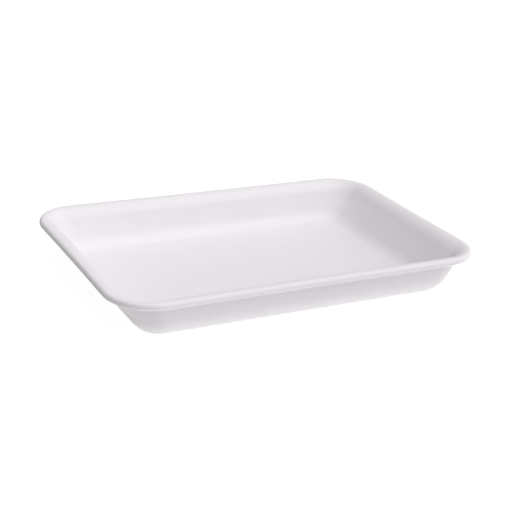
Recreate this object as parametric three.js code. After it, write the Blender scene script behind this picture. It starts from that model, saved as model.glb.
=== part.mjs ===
// A shallow rectangular food tray, pressed as one piece from foam sheet.
// Sizes are in millimetres. X runs along the tray, Y across it and Z up, and it stands on Z = 0.
import * as THREE from "three";

// Plan of the rim, and how tall the tray is
const RIM_LENGTH = 210;
const RIM_WIDTH = 140;
const HEIGHT = 25.5;
const RIM_CORNER_RADIUS = 24;

// Thickness of the foam sheet in the walls and the floor
const SHEET = 3.6;

// How far the foot of each wall stands inside the rim's edge
const END_WALL_RUN = 18.6;
const SIDE_WALL_RUN = 11.6;

// Corner radii of the flat underside and of the flat floor inside, and how fast each face's corners
// tighten towards them from the rim, as a power: 1 is evenly, more is sooner
const BASE_CORNER_RADIUS = 1;
const FLOOR_CORNER_RADIUS = 6;
const OUTSIDE_HASTE = 1;
const INSIDE_HASTE = 2;

// The fold between wall and floor is pressed thinner than the sheet, so each face has its own radius
const FOOT_OUTSIDE_RADIUS = 18;
const FOOT_INSIDE_RADIUS = 8;

// The flange that the wall flares into, with the radius of the hollow under it
const FLANGE_WIDTH = 7;
const FLARE_HOLLOW_RADIUS = 6.2;

// Share of a leg that may be bent, so that a little of each stays straight
const BENT_SHARE = 0.95;

// Steps that the round stretches are drawn with
const CORNER_STEPS = 10;
const FOLD_STEPS = 7;
const LIP_STEPS = 6;

const HALF_SHEET = SHEET / 2;

const FOAM = new THREE.MeshStandardMaterial({
  name: "white_foam",
  color: new THREE.Color(0.82, 0.81, 0.83),
  roughness: 0.62,
  metalness: 0,
});

// A point of a section is a Vector2: x is its distance inwards from the rim's edge, y its height.
// A fold rounds a corner with the arc that touches both legs. A radius too large for the room on its
// legs is cut down to it. It gives the points of the arc, and the length that it takes of a leg.
function fold(before, corner, after, radius, room) {
  const back = before.clone().sub(corner).normalize();
  const onward = after.clone().sub(corner).normalize();
  const half = back.angleTo(onward) / 2;
  const reach = Math.min(radius / Math.tan(half), room);
  const start = corner.clone().addScaledVector(back, reach);
  const bisector = back.clone().add(onward).normalize();
  const centre = corner.clone().addScaledVector(bisector, reach / Math.cos(half));
  const turn = Math.sign(back.cross(onward)) * (2 * half - Math.PI);
  const points = Array.from({ length: FOLD_STEPS + 1 }, (_, step) =>
    start.clone().rotateAround(centre, (turn * step) / FOLD_STEPS),
  );
  return { points, reach };
}

// The sheet's middle line through one wall, with sharp corners: lip, flange, wall and floor.
function middleLine(wallRun) {
  const lip = new THREE.Vector2(HALF_SHEET, HEIGHT - HALF_SHEET);
  const knee = new THREE.Vector2(FLANGE_WIDTH, HEIGHT - HALF_SHEET);
  const foot = new THREE.Vector2(wallRun, HALF_SHEET);
  const floor = new THREE.Vector2(2 * wallRun, HALF_SHEET);
  return [lip, knee, foot, floor];
}

// The middle line moved upwards by lift, or down where lift is negative, each leg along its own normal.
function movedLine(line, lift) {
  const normals = line.slice(1).map((point, leg) => {
    const run = point.clone().sub(line[leg]).normalize();
    return new THREE.Vector2(-run.y, run.x);
  });
  return line.map((point, place) => {
    const before = normals[Math.max(place - 1, 0)];
    const after = normals[Math.min(place, normals.length - 1)];
    const scale = lift / (1 + before.dot(after));
    return point.clone().addScaledVector(before, scale).addScaledVector(after, scale);
  });
}

// One face of the sheet through a wall, from the lip to the flat floor, with both its folds rounded.
function faceLine(wallRun, lift, flareRadius, footRadius) {
  const [lip, knee, foot, floor] = movedLine(middleLine(wallRun), lift);
  const flare = fold(lip, knee, foot, flareRadius, BENT_SHARE * lip.distanceTo(knee));
  const wallLeft = BENT_SHARE * knee.distanceTo(foot) - flare.reach;
  const base = fold(knee, foot, floor, footRadius, wallLeft);
  return [lip, ...flare.points, ...base.points];
}

// The outline of the sheet's cut section: along its underside from the base to the lip, round the lip,
// and back along its upper side.
function sectionOutline(wallRun) {
  const under = faceLine(wallRun, -HALF_SHEET, FLARE_HOLLOW_RADIUS, FOOT_OUTSIDE_RADIUS);
  const upper = faceLine(wallRun, HALF_SHEET, FLARE_HOLLOW_RADIUS + SHEET, FOOT_INSIDE_RADIUS);
  const [lipMiddle] = middleLine(wallRun);
  const lip = Array.from({ length: LIP_STEPS - 1 }, (_, step) =>
    under[0].clone().rotateAround(lipMiddle, (-Math.PI * (step + 1)) / LIP_STEPS),
  );
  return [...under.reverse(), ...lip, ...upper];
}

// The corner radius of each level ring, from the insets of its two kinds of wall. On either face it
// falls from the rim's, at the lip's tip half way along the section, to that of the face's flat.
function cornerRadii(ends, sides) {
  const tip = (ends.length - 1) / 2;
  return ends.map((point, place) => {
    const outside = place < tip;
    const flat = outside ? 0 : ends.length - 1;
    const share = (point.x / ends[flat].x + sides[place].x / sides[flat].x) / 2;
    const flatRadius = outside ? BASE_CORNER_RADIUS : FLOOR_CORNER_RADIUS;
    const haste = outside ? OUTSIDE_HASTE : INSIDE_HASTE;
    return flatRadius + (RIM_CORNER_RADIUS - flatRadius) * (1 - share) ** haste;
  });
}

// One level ring of the tray: a rounded rectangle that stands in from the rim's edge by the inset of
// the end walls along X and of the side walls along Y.
function ring(endPoint, sidePoint, radius) {
  const height = (endPoint.y + sidePoint.y) / 2;
  const armX = RIM_LENGTH / 2 - endPoint.x - radius;
  const armY = RIM_WIDTH / 2 - sidePoint.x - radius;
  const quarters = [[1, 1], [-1, 1], [-1, -1], [1, -1]];
  return quarters.flatMap(([signX, signY], quarter) =>
    Array.from({ length: CORNER_STEPS + 1 }, (_, step) => {
      const angle = (Math.PI / 2) * (quarter + step / CORNER_STEPS);
      const x = signX * armX + radius * Math.cos(angle);
      const y = signY * armY + radius * Math.sin(angle);
      return new THREE.Vector3(x, y, height);
    }),
  );
}

// Two faces to each cell between one ring and the next.
function bandFaces(ringCount, ringSize) {
  const faces = [];
  for (let level = 0; level < ringCount - 1; level += 1) {
    for (let place = 0; place < ringSize; place += 1) {
      const next = (place + 1) % ringSize;
      const here = level * ringSize;
      const above = here + ringSize;
      faces.push(here + place, here + next, above + next);
      faces.push(here + place, above + next, above + place);
    }
  }
  return faces;
}

// A flat cap over a ring, as a fan from its first point. It faces up or down.
function capFaces(first, ringSize, facesUp) {
  const faces = [];
  for (let place = 1; place < ringSize - 1; place += 1) {
    const pair = facesUp ? [first + place, first + place + 1] : [first + place + 1, first + place];
    faces.push(first, ...pair);
  }
  return faces;
}

// The tray: the sheet's section carried round the plan, with the floor's two flats closing it.
function trayGeometry() {
  const ends = sectionOutline(END_WALL_RUN);
  const sides = sectionOutline(SIDE_WALL_RUN);
  const radii = cornerRadii(ends, sides);
  const rings = ends.map((point, place) => ring(point, sides[place], radii[place]));
  const ringSize = rings[0].length;
  const inside = ringSize * (rings.length - 1);
  const geometry = new THREE.BufferGeometry().setFromPoints(rings.flat());
  geometry.setIndex([
    ...capFaces(0, ringSize, false),
    ...bandFaces(rings.length, ringSize),
    ...capFaces(inside, ringSize, true),
  ]);
  geometry.computeVertexNormals();
  return geometry;
}

const tray = new THREE.Mesh(trayGeometry(), FOAM);
tray.name = "foam_tray";

const foodTray = new THREE.Group();
foodTray.name = "food_tray";
foodTray.add(tray);

export default foodTray;
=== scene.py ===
"""A shallow food tray pressed from white foam sheet, standing in a plain white studio.

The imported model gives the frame: metres, +X along the tray, +Y across it, +Z up, and the tray stands on
Z = 0. The tray here is a fine, softly finished surface of the same sheet, inside the frame's own box.
"""
import logging
import math
from collections.abc import Sequence
from dataclasses import dataclass, field
from enum import Enum

import bpy
import numpy as np
from mathutils import Matrix, Vector


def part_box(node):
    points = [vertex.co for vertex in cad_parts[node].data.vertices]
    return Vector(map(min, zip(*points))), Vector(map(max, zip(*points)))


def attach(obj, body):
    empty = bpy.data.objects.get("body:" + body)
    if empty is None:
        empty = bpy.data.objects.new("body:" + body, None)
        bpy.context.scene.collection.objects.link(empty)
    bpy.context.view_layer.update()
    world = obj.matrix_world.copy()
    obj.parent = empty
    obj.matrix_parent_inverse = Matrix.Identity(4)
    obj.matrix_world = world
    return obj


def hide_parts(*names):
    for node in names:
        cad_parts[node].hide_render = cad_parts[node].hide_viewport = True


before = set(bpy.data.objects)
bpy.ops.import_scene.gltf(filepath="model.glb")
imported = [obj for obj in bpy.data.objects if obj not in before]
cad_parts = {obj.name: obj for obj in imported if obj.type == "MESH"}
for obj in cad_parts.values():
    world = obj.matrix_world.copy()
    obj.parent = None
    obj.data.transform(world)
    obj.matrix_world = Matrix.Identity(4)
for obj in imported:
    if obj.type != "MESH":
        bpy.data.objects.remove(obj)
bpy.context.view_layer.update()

Array = np.ndarray
Color = tuple[float, float, float]

MM = 0.001
IMAGE_WIDTH_PX = 512
BODY = "root"
NODE = "foam_tray"

log = logging.getLogger("food_tray")


class Wall(Enum):
    """The two kinds of wall, which lean by different amounts."""

    END = "end"
    SIDE = "side"


@dataclass
class SheetSection:
    """The cut section of the sheet through one wall.

    It runs from the edge of the flat underside, round the lip, to the edge of the flat floor inside.
    A point is (inset, height): inset is how far it stands inwards from the rim's edge, in metres.
    """

    wall_run: float
    height: float
    sheet: float
    flange_width: float
    hollow_radius: float
    foot_outside: float
    foot_inside: float
    bent_share: float = 0.95
    fold_steps: int = 28
    lip_steps: int = 20
    leg_steps: int = 10

    def fold(self, before: Array, corner: Array, after: Array, radius: float) -> Array:
        """Rounds a corner with the arc that touches both legs.

        The arc takes radius / tan(half the angle) of each leg, or most of the first leg if that is
        shorter. Its centre lies on the bisector of the legs, and its points at even angles round it.

        Args:
            before: A point on the leg that comes in.
            corner: Where the two legs would meet.
            after: A point on the leg that goes on.
            radius: The radius of the arc.

        Returns:
            The points of the arc.
        """
        back = (before - corner) / np.linalg.norm(before - corner)
        onward = (after - corner) / np.linalg.norm(after - corner)
        half = math.acos(float(back @ onward)) / 2
        hand = math.copysign(1.0, float(back[0] * onward[1] - back[1] * onward[0]))
        room = self.bent_share * float(np.linalg.norm(before - corner))
        reach = min(radius / math.tan(half), room)
        bisector = (back + onward) / np.linalg.norm(back + onward)
        centre = corner + bisector * reach / math.cos(half)
        arm = corner + back * reach - centre
        angle = hand * (2 * half - math.pi) * np.linspace(0, 1, self.fold_steps + 1)
        turned_x = arm[0] * np.cos(angle) - arm[1] * np.sin(angle)
        turned_z = arm[0] * np.sin(angle) + arm[1] * np.cos(angle)
        return centre + np.stack([turned_x, turned_z], axis=1)

    def corners(self, lift: float) -> Array:
        """The sheet's middle line with sharp corners, moved upwards by lift.

        Each leg moves along its own normal n, so a corner moves by lift (n1 + n2) / (1 + n1 . n2).

        Args:
            lift: How far up the line moves, negative for down.

        Returns:
            Four points: the lip, the knee under the flange, the foot and the floor.
        """
        half = self.sheet / 2
        top = self.height - half
        line = np.array([
            [half, top],
            [self.flange_width, top],
            [self.wall_run, half],
            [2 * self.wall_run, half],
        ])
        leg = np.diff(line, axis=0)
        leg /= np.linalg.norm(leg, axis=1, keepdims=True)
        normal = np.stack([-leg[:, 1], leg[:, 0]], axis=1)
        before, after = normal[[0, 0, 1, 2]], normal[[0, 1, 2, 2]]
        share = lift / (1 + (before * after).sum(axis=1, keepdims=True))
        return line + share * (before + after)

    def face(self, lift: float, flare_radius: float, foot_radius: float) -> Array:
        """One face of the sheet from the lip to the flat floor, with both folds rounded.

        The straight wall between the folds gets even points of its own, by linear steps.

        Args:
            lift: How far the face stands above the sheet's middle line.
            flare_radius: The radius of its fold at the flange.
            foot_radius: The radius of its fold at the foot.

        Returns:
            The points of the face.
        """
        lip, knee, foot, floor = self.corners(lift)
        flare = self.fold(lip, knee, foot, flare_radius)
        base = self.fold(knee, foot, floor, foot_radius)
        share = np.linspace(0, 1, self.leg_steps + 1)[1:-1, None]
        leg = flare[-1] + (base[0] - flare[-1]) * share
        return np.vstack([lip, flare, leg, base])

    def outline(self) -> Array:
        """The outline of the section: the underside out to the lip, round the lip, and back inside.

        The lip is a half circle about the end of the sheet's middle line.

        Returns:
            The outline's points, from the underside's flat to the floor's.
        """
        half = self.sheet / 2
        under = self.face(-half, self.hollow_radius, self.foot_outside)
        upper = self.face(half, self.hollow_radius + self.sheet, self.foot_inside)
        angle = np.linspace(-math.pi / 2, -3 * math.pi / 2, self.lip_steps + 1)[1:-1]
        lip = self.corners(0)[0] + half * np.stack([np.cos(angle), np.sin(angle)], axis=1)
        return np.vstack([under[::-1], lip, upper])


@dataclass(frozen=True)
class SkinWave:
    """Long, shallow waves in the skin: a chequer of swells, and a fainter ripple that runs aslant.

    A wave's number is in radians for each metre, and its start in radians at the tray's middle.
    """

    height: float = 0.05 * MM
    swell_x: float = 61.0
    swell_start_x: float = 1.3
    swell_y: float = 83.0
    swell_start_y: float = 0.4
    ripple_x: float = 143.0
    ripple_y: float = 97.0
    ripple_start: float = 2.1
    ripple_share: float = 0.6

    def lift(self, x: Array, y: Array) -> Array:
        """How far the waves lift the skin.

        The swells are the product of a sine along X and a sine along Y. The ripple is a sine of a
        place measured aslant, times its share.

        Args:
            x: The points' places along the tray.
            y: The points' places across it.

        Returns:
            The lift of each point, in metres.
        """
        along = np.sin(x * self.swell_x + self.swell_start_x)
        across = np.sin(y * self.swell_y + self.swell_start_y)
        ripple = np.sin(x * self.ripple_x - y * self.ripple_y + self.ripple_start)
        return self.height * (along * across + self.ripple_share * ripple)


@dataclass
class FoamTray:
    """The tray: its section carried round a rounded rectangle, closed by its two flats."""

    low: Vector
    high: Vector
    sheet: float = 3.6 * MM
    end_wall_run: float = 18.6 * MM
    side_wall_run: float = 11.6 * MM
    flange_width: float = 7 * MM
    hollow_radius: float = 6.2 * MM
    foot_outside: float = 18 * MM
    foot_inside: float = 8 * MM
    rim_corner: float = 24 * MM
    base_corner: float = 1 * MM
    floor_corner: float = 6 * MM
    outside_haste: int = 1
    inside_haste: int = 2
    corner_steps: int = 40
    straight_steps: int = 36
    cap_steps: int = 30
    rim_bow: float = 0.45 * MM
    bow_rise: int = 2
    bow_edge: int = 6
    wave: SkinWave = SkinWave()
    wave_floor_share: float = 0.1
    wave_rim_sheets: float = 2.0
    inset_skin: float = 0.01 * MM

    @property
    def length(self) -> float:
        """The rim's length along X."""
        return self.high.x - self.low.x - 2 * self.inset_skin

    @property
    def width(self) -> float:
        """The rim's width along Y."""
        return self.high.y - self.low.y - 2 * self.inset_skin

    @property
    def height(self) -> float:
        """The height of the rim's top over the surface that the tray stands on."""
        return self.high.z - self.inset_skin

    def section(self, wall: Wall) -> Array:
        """The outline of the sheet through the walls of one kind.

        Args:
            wall: The kind of wall.

        Returns:
            The outline's points.
        """
        run = {Wall.END: self.end_wall_run, Wall.SIDE: self.side_wall_run}[wall]
        section = SheetSection(
            wall_run=run,
            height=self.height,
            sheet=self.sheet,
            flange_width=self.flange_width,
            hollow_radius=self.hollow_radius,
            foot_outside=self.foot_outside,
            foot_inside=self.foot_inside,
        )
        return section.outline()

    def corner_radii(self, ends: Array, sides: Array) -> Array:
        """The corner radius of each ring.

        On the outside, up to the lip's tip half way along the section, the radius falls evenly with
        the inset, from the rim's to the underside's. Inside it falls to the floor's with a power of
        the way that is left, so the inner corners tighten soon after the rim.

        Args:
            ends: The section's points through the end walls.
            sides: The section's points through the side walls.

        Returns:
            One radius for each point of the section.
        """
        outside = np.arange(len(ends)) < len(ends) // 2
        flat = np.where(outside, 0, len(ends) - 1)
        share = (ends[:, 0] / ends[flat, 0] + sides[:, 0] / sides[flat, 0]) / 2
        left = (1 - share) ** np.where(outside, self.outside_haste, self.inside_haste)
        flat_radius = np.where(outside, self.base_corner, self.floor_corner)
        return flat_radius + (self.rim_corner - flat_radius) * left

    def rings(self, ends: Array, sides: Array) -> Array:
        """Level rings round the tray, one for each point of the section.

        A ring is a rounded rectangle: four quarter circles, whose centres stand in from the rim by
        the inset and the radius, joined by straight lines of even steps.

        Args:
            ends: The section's points through the end walls.
            sides: The section's points through the side walls.

        Returns:
            An array of rings by points by 3.
        """
        radius = self.corner_radii(ends, sides)
        arm_x = self.length / 2 - ends[:, 0] - radius
        arm_y = self.width / 2 - sides[:, 0] - radius
        quarter = np.linspace(0, math.pi / 2, self.corner_steps + 1)
        signs = np.array([[1, 1], [-1, 1], [-1, -1], [1, -1]])
        parts = []
        for place, (sign_x, sign_y) in enumerate(signs):
            angle = quarter + place * math.pi / 2
            x = sign_x * arm_x[:, None] + radius[:, None] * np.cos(angle)
            y = sign_y * arm_y[:, None] + radius[:, None] * np.sin(angle)
            next_x, next_y = signs[(place + 1) % 4]
            along = np.linspace(0, 1, self.straight_steps + 1)[1:-1]
            turn = angle[-1]
            start = np.stack([x[:, -1], y[:, -1]], axis=1)
            stop_x = next_x * arm_x + radius * math.cos(turn)
            stop_y = next_y * arm_y + radius * math.sin(turn)
            stop = np.stack([stop_x, stop_y], axis=1)
            line = start[:, None, :] + (stop - start)[:, None, :] * along[None, :, None]
            parts.append(np.concatenate([np.stack([x, y], axis=2), line], axis=1))
        plan = np.concatenate(parts, axis=1)
        level = ((ends[:, 1] + sides[:, 1]) / 2)[:, None, None]
        return np.concatenate([plan, np.broadcast_to(level, plan.shape[:2] + (1,))], axis=2)

    def flat(self, ring: Array) -> Array:
        """The flat inside a ring, as smaller and smaller copies of it, without the middle point.

        Each copy's X and Y are the ring's times a share that falls evenly from 1 to 0.

        Args:
            ring: The ring's points.

        Returns:
            An array of copies by points by 3, from the ring inwards.
        """
        shrink = np.linspace(1, 0, self.cap_steps + 1)[1:-1, None, None]
        plane = np.array([1.0, 1.0, 0.0])
        return ring[None] * (shrink * plane + (1 - plane))

    def relax(self, points: Array) -> Array:
        """Takes the ruler's edge off the form, as the press leaves it.

        The walls bow inwards in their middles, by the square of a cosine of the place along them and
        more towards the rim. The skin's waves are whole from the floor's level upwards. They fade out
        just below that level and near the rim's top, so the underside stays flat.

        Args:
            points: The tray's points.

        Returns:
            The moved points.
        """
        x, y, z = points[..., 0], points[..., 1], points[..., 2]
        rise = np.clip(z / self.height, 0, 1) ** self.bow_rise
        along_x = np.cos(np.clip(x / self.length, -0.5, 0.5) * math.pi) ** 2
        along_y = np.cos(np.clip(y / self.width, -0.5, 0.5) * math.pi) ** 2
        near_end = np.clip(2 * np.abs(x) / self.length, 0, 1) ** self.bow_edge
        near_side = np.clip(2 * np.abs(y) / self.width, 0, 1) ** self.bow_edge
        moved = points.copy()
        moved[..., 0] -= np.sign(x) * self.rim_bow * rise * along_y * near_end
        moved[..., 1] -= np.sign(y) * self.rim_bow * rise * along_x * near_side
        blend = self.sheet * self.wave_floor_share
        inside = np.clip((z - self.sheet + blend) / blend, 0, 1)
        below_rim = np.clip((self.height - z) / (self.sheet * self.wave_rim_sheets), 0, 1)
        moved[..., 2] += self.wave.lift(x, y) * inside * below_rim
        return moved

    def surface(self) -> tuple[Array, Array]:
        """The skin's points, and its faces but for the middles of the two flats.

        The rings, with the two flats' copies before and after them, make one grid of quads. The last
        two points are the middles of the underside and of the floor.

        Returns:
            The points, and the quads.
        """
        rings = self.rings(self.section(Wall.END), self.section(Wall.SIDE))
        grid = np.concatenate([self.flat(rings[0])[::-1], rings, self.flat(rings[-1])])
        grid = self.relax(grid)
        count, size = grid.shape[:2]
        level, place = np.meshgrid(np.arange(count - 1), np.arange(size), indexing="ij")
        here = level * size + place
        ahead = level * size + (place + 1) % size
        quads = np.stack([here, ahead, ahead + size, here + size], axis=-1).reshape(-1, 4)
        under = np.array([[0, 0, grid[0, :, 2].mean()]])
        floor = np.array([[0, 0, grid[-1, :, 2].mean()]])
        points = np.vstack([grid.reshape(-1, 3), under, floor])
        return points, quads

    def faces(self, points: Array, quads: Array) -> list[list[int]]:
        """All faces of the closed skin: the quads, and triangles round the middle of each flat.

        Args:
            points: The skin's points, the two middles last.
            quads: The faces between the rings.

        Returns:
            The faces, as lists of places among the points.
        """
        size = 4 * (self.corner_steps + self.straight_steps)
        under, floor = len(points) - 2, len(points) - 1
        place = np.arange(size)
        after = (place + 1) % size
        last = len(points) - 2 - size
        below = np.stack([after, place, np.full(size, under)], axis=1)
        above = np.stack([last + place, last + after, np.full(size, floor)], axis=1)
        return quads.tolist() + below.tolist() + above.tolist()

    def build(self) -> bpy.types.Object:
        """Makes the tray's object, smooth all over, and ties it to the frame.

        Returns:
            The object.
        """
        points, quads = self.surface()
        mesh = bpy.data.meshes.new("foam_tray_skin")
        mesh.from_pydata(points.tolist(), [], self.faces(points, quads))
        mesh.shade_smooth()
        mesh.validate()
        piece = bpy.data.objects.new("foam_tray_skin", mesh)
        bpy.context.scene.collection.objects.link(piece)
        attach(piece, BODY)
        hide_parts(NODE)
        return piece


@dataclass(frozen=True)
class FoamFinish:
    """White closed-cell foam: a soft satin skin with faint cells, mottling and low swells."""

    base: Color = (0.865, 0.835, 0.868)
    shade: Color = (0.845, 0.812, 0.848)
    roughness: float = 0.55
    cell_size: float = 0.9 * MM
    mottle_size: float = 14 * MM
    cell_depth: float = 0.03 * MM
    mottle_depth: float = 0.08 * MM
    mottle_detail: float = 3.0
    grain_size: float = 2.7 * MM
    grain_detail: float = 4.0
    grain_roughness: float = 0.06
    specular: float = 0.35
    scatter: float = 0.12
    scatter_depth: float = 2 * MM

    def noise(
        self, tree: bpy.types.NodeTree, coord: bpy.types.NodeSocket, size: float, detail: float
    ) -> bpy.types.Node:
        """A noise texture whose features are about one size.

        Args:
            tree: The node tree.
            coord: The place on the object.
            size: The features' size, in metres.
            detail: How many finer noises are laid over the first.

        Returns:
            The texture's node.
        """
        node = tree.nodes.new("ShaderNodeTexNoise")
        node.inputs["Scale"].default_value = 1 / size
        node.inputs["Detail"].default_value = detail
        tree.links.new(coord, node.inputs["Vector"])
        return node

    def material(self) -> bpy.types.Material:
        """Makes the finish.

        Colour runs between the two tones by a broad noise. The bump adds a fine pattern of cells, by
        the distance to the nearest cell's middle, to the same noise as low swells. A finer noise
        moves the roughness a little to either side.

        Returns:
            The material.
        """
        material = bpy.data.materials.new("white_foam_skin")
        material.use_nodes = True
        tree = material.node_tree
        shader = tree.nodes["Principled BSDF"]
        coord = tree.nodes.new("ShaderNodeTexCoord").outputs["Object"]
        mottle = self.noise(tree, coord, self.mottle_size, self.mottle_detail)
        tone = tree.nodes.new("ShaderNodeMix")
        tone.data_type = "RGBA"
        tone.inputs["A"].default_value = (*self.base, 1)
        tone.inputs["B"].default_value = (*self.shade, 1)
        tree.links.new(mottle.outputs["Fac"], tone.inputs["Factor"])
        tree.links.new(tone.outputs["Result"], shader.inputs["Base Color"])
        cells = tree.nodes.new("ShaderNodeTexVoronoi")
        cells.feature = "SMOOTH_F1"
        cells.inputs["Scale"].default_value = 1 / self.cell_size
        tree.links.new(coord, cells.inputs["Vector"])
        swell = tree.nodes.new("ShaderNodeBump")
        swell.inputs["Distance"].default_value = self.mottle_depth
        tree.links.new(mottle.outputs["Fac"], swell.inputs["Height"])
        pore = tree.nodes.new("ShaderNodeBump")
        pore.inputs["Distance"].default_value = self.cell_depth
        tree.links.new(cells.outputs["Distance"], pore.inputs["Height"])
        tree.links.new(swell.outputs["Normal"], pore.inputs["Normal"])
        tree.links.new(pore.outputs["Normal"], shader.inputs["Normal"])
        grain = self.noise(tree, coord, self.grain_size, self.grain_detail)
        rough = tree.nodes.new("ShaderNodeMapRange")
        rough.inputs["To Min"].default_value = self.roughness - self.grain_roughness
        rough.inputs["To Max"].default_value = self.roughness + self.grain_roughness
        tree.links.new(grain.outputs["Fac"], rough.inputs["Value"])
        tree.links.new(rough.outputs["Result"], shader.inputs["Roughness"])
        shader.inputs["Specular IOR Level"].default_value = self.specular
        shader.inputs["Subsurface Weight"].default_value = self.scatter
        shader.inputs["Subsurface Radius"].default_value = (1.0, 1.0, 1.0)
        shader.inputs["Subsurface Scale"].default_value = self.scatter_depth
        return material


@dataclass
class Camera:
    """The camera, placed by its turn round the tray as the photograph shows it."""

    target_height: float
    azimuth: float = -28.88
    elevation: float = 22.24
    roll: float = 3.98
    distance: float = 0.6176
    focal_px: float = 1130.5
    aim_right: float = -0.00124
    aim_up: float = 0.00143
    sensor_mm: float = 36.0
    clip_start: float = 0.01

    def axes(self) -> tuple[Vector, Vector, Vector]:
        """The camera's directions before the roll.

        The direction back to the camera is the front's, -Y, turned by the azimuth about Z and lifted
        by the elevation. The right direction stays level, and up is square to both.

        Returns:
            The picture's right and up directions, and the direction back to the camera.
        """
        az, el = math.radians(self.azimuth), math.radians(self.elevation)
        back = Vector((math.sin(az) * math.cos(el), -math.cos(az) * math.cos(el), math.sin(el)))
        right = Vector((math.cos(az), math.sin(az), 0))
        return right, back.cross(right), back

    def build(self) -> bpy.types.Object:
        """Makes the camera and sets it as the scene's.

        Its place is the target plus the distance along the back direction. The roll turns its right
        and up axes about that direction.

        Returns:
            The camera's object.
        """
        right, up, back = self.axes()
        target = Vector((0, 0, self.target_height)) - right * self.aim_right - up * self.aim_up
        roll = math.radians(self.roll)
        rolled_right = right * math.cos(roll) + up * math.sin(roll)
        rolled_up = up * math.cos(roll) - right * math.sin(roll)
        data = bpy.data.cameras.new("camera")
        data.sensor_width = self.sensor_mm
        data.lens = self.sensor_mm * self.focal_px / IMAGE_WIDTH_PX
        data.clip_start = self.clip_start
        camera = bpy.data.objects.new("camera", data)
        turn = Matrix((rolled_right, rolled_up, back)).transposed()
        camera.matrix_world = Matrix.Translation(target + back * self.distance) @ turn.to_4x4()
        bpy.context.scene.collection.objects.link(camera)
        bpy.context.scene.camera = camera
        return camera


@dataclass(frozen=True)
class LightTent:
    """The glow of the soft sides of a light tent, by the direction that each side stands in."""

    right: float = 1.19
    left: float = 0.0
    back: float = 0.13
    front: float = 0.0
    above: float = 0.84
    below: float = 1.86
    upper_front: float = 2.67

    def build(self) -> None:
        """Makes the tent as the world's light.

        The glow in a direction d is the sum over the axes of d squared times the glow of the side
        that d points to, so it turns smoothly from side to side. The edge between the front and the
        upper side adds its own glow times d's shares of both.
        """
        world = bpy.data.worlds.new("light_tent")
        world.use_nodes = True
        tree = world.node_tree
        direction = tree.nodes.new("ShaderNodeTexCoord").outputs["Generated"]
        split = tree.nodes.new("ShaderNodeSeparateXYZ")
        tree.links.new(direction, split.inputs["Vector"])
        pairs = {"X": (self.right, self.left), "Y": (self.back, self.front), "Z": (self.above, self.below)}
        total = None
        for axis, (ahead, behind) in pairs.items():
            part = split.outputs[axis]
            ahead_share = self.step(tree, "MULTIPLY", self.step(tree, "MAXIMUM", part, 0.0), part)
            behind_share = self.step(tree, "MULTIPLY", self.step(tree, "MINIMUM", part, 0.0), part)
            for share, glow in ((ahead_share, ahead), (behind_share, behind)):
                term = self.step(tree, "MULTIPLY", share, glow)
                total = term if total is None else self.step(tree, "ADD", total, term)
        forward = self.step(tree, "MINIMUM", split.outputs["Y"], 0.0)
        upward = self.step(tree, "MAXIMUM", split.outputs["Z"], 0.0)
        edge = self.step(tree, "MULTIPLY", forward, upward)
        total = self.step(tree, "ADD", total, self.step(tree, "MULTIPLY", edge, -self.upper_front))
        background = tree.nodes["Background"]
        background.inputs["Color"].default_value = (1, 1, 1, 1)
        tree.links.new(total, background.inputs["Strength"])
        bpy.context.scene.world = world

    @staticmethod
    def step(
        tree: bpy.types.NodeTree,
        operation: str,
        first: bpy.types.NodeSocket,
        second: bpy.types.NodeSocket | float,
    ) -> bpy.types.NodeSocket:
        """One step of arithmetic on a value, with another value or a plain number.

        Args:
            tree: The node tree.
            operation: The name of the step.
            first: The first value.
            second: The second value, or a number.

        Returns:
            The result.
        """
        node = tree.nodes.new("ShaderNodeMath")
        node.operation = operation
        tree.links.new(first, node.inputs[0])
        if isinstance(second, float):
            node.inputs[1].default_value = second
        else:
            tree.links.new(second, node.inputs[1])
        return node.outputs[0]


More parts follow.
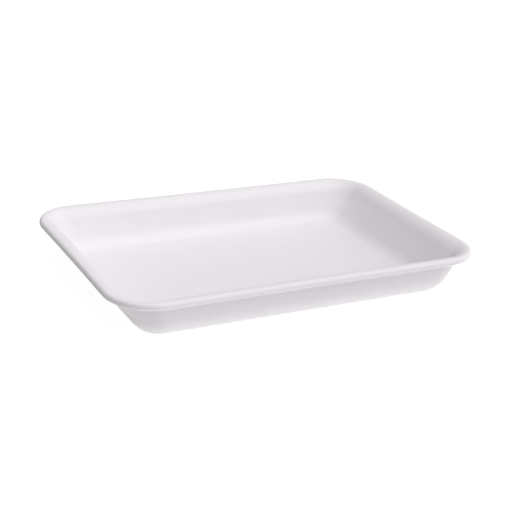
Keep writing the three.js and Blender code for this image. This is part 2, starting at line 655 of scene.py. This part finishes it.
@dataclass
class Studio:
    """The plain floor with walls far round it, inside the light tent.

    The floor glows like a light table, so it stays nearly white under the tray. It neither lights
    the tray nor shades it: the tent's light passes through.
    """

    tent: LightTent = field(default_factory=LightTent)
    floor_side: float = 30.0
    wall_height: float = 15.0
    floor_tone: Color = (0.35, 0.35, 0.35)
    floor_roughness: float = 0.9
    floor_glow: float = 0.78

    def floor(self) -> None:
        """Makes the floor's object: a big square with a wall along each of its four sides."""
        half = self.floor_side / 2
        mesh = bpy.data.meshes.new("studio_floor")
        plan = [(-half, -half), (half, -half), (half, half), (-half, half)]
        corners = [(x, y, z) for z in (0, self.wall_height) for x, y in plan]
        walls = [(side, side + 4, (side + 1) % 4 + 4, (side + 1) % 4) for side in range(4)]
        mesh.from_pydata(corners, [], [(0, 1, 2, 3), *walls])
        mesh.materials.append(self.finish())
        piece = bpy.data.objects.new("studio_floor", mesh)
        piece.visible_diffuse = False
        piece.visible_glossy = False
        piece.visible_shadow = False
        bpy.context.scene.collection.objects.link(piece)

    def finish(self) -> bpy.types.Material:
        """Makes the plain, pale, glowing finish of the floor and its walls.

        Returns:
            The material.
        """
        material = bpy.data.materials.new("studio_floor")
        material.use_nodes = True
        shader = material.node_tree.nodes["Principled BSDF"]
        shader.inputs["Base Color"].default_value = (*self.floor_tone, 1)
        shader.inputs["Roughness"].default_value = self.floor_roughness
        shader.inputs["Specular IOR Level"].default_value = 0.0
        shader.inputs["Emission Color"].default_value = (1, 1, 1, 1)
        shader.inputs["Emission Strength"].default_value = self.floor_glow
        return material

    def build(self) -> None:
        """Makes the floor and the tent, and shows colours as they are."""
        self.floor()
        self.tent.build()
        bpy.context.scene.view_settings.view_transform = "Standard"


def main() -> None:
    """Builds the camera, the studio and the tray with its finish, and reports the tray's count of faces.
    """
    logging.basicConfig(level=logging.INFO, format="%(name)s: %(message)s")
    low, high = (Vector(corner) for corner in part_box(NODE))
    Camera(target_height=(high.z - low.z) / 2).build()
    Studio().build()
    tray = FoamTray(low, high).build()
    tray.data.materials.append(FoamFinish().material())
    log.info("%s: %d faces", tray.name, len(tray.data.polygons))


if __name__ == "__main__":
    main()
